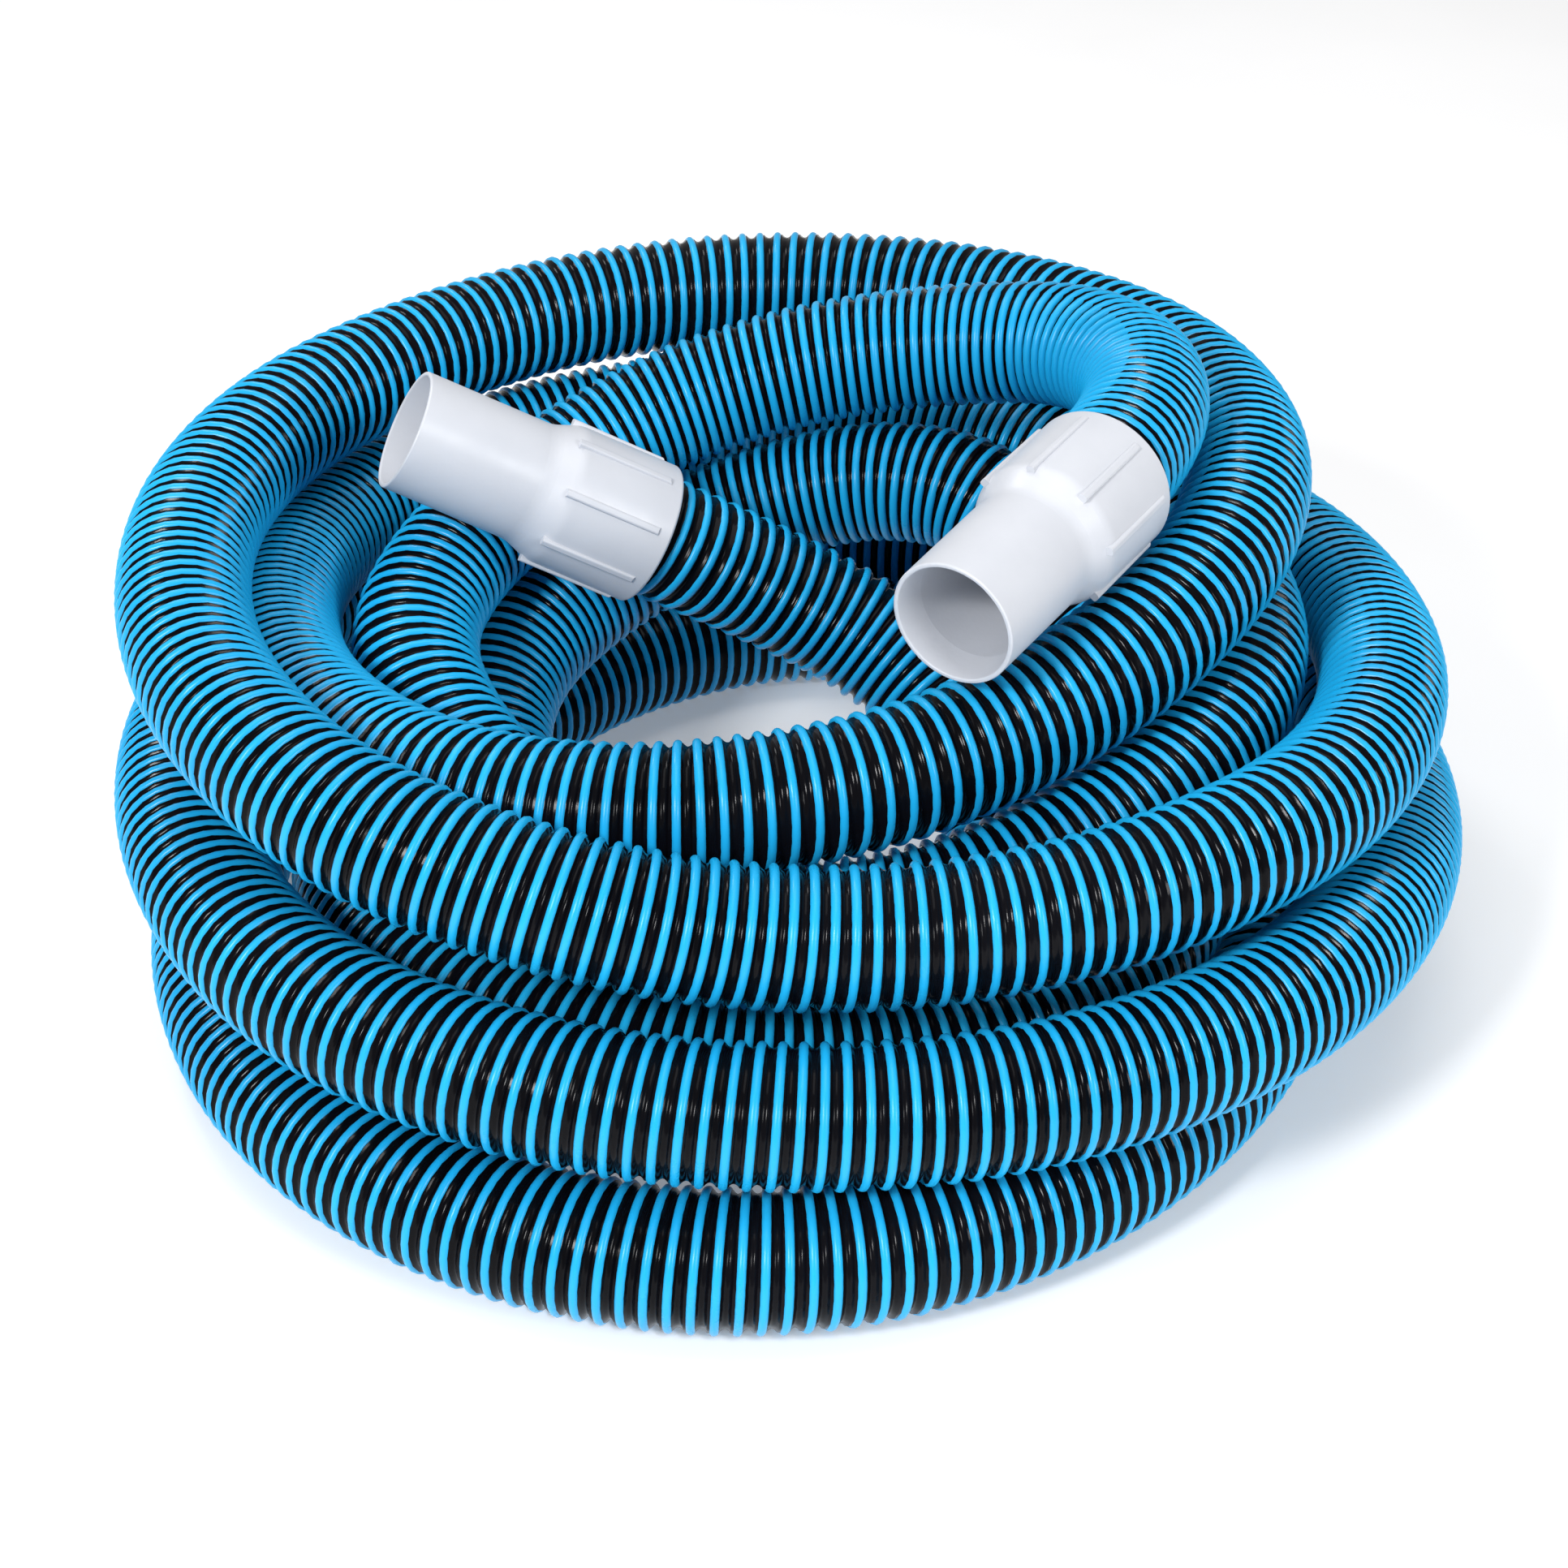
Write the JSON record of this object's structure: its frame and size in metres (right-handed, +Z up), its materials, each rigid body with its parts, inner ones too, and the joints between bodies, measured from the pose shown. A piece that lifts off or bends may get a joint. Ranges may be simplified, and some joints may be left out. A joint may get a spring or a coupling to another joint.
{
  "type": "pool vacuum hose",
  "caption": "Coiled spiral-wound suction hose with a ribbed push-on cuff at each end, one of them swivelling.",
  "frame": {"origin": "on the floor, under the middle of the coil's footprint", "axes": "+Z up, the way the coil lies; -Y is the front, the side the swivel cuff's mouth is on"},
  "size_m": [0.4979, 0.5001, 0.2225],
  "materials": {
    "hose_web": "gloss black EVA web",
    "cuff": "satin white moulded polyethylene",
    "ferrule": "natural moulded plastic",
    "washer": "black rubber"
  },
  "bodies": {
    "hose": {"hose_coil": "hose_web", "hose_tail_fixed": "hose_web", "hose_tail_swivel": "hose_web", "cuff_fixed": "cuff", "swivel_ferrule": "ferrule"},
    "swivel_cuff": {"cuff_swivel": "cuff", "swivel_retainer": "ferrule", "swivel_washer": "washer"}
  },
  "joints": [
    {"name": "swivel_cuff_turn", "type": "hinge", "parent": "hose", "child": "swivel_cuff", "pos_m": [0.09463, -0.03755, 0.19301], "axis": [0.5554, 0.8256, 0.1001], "continuous": true}
  ]
}
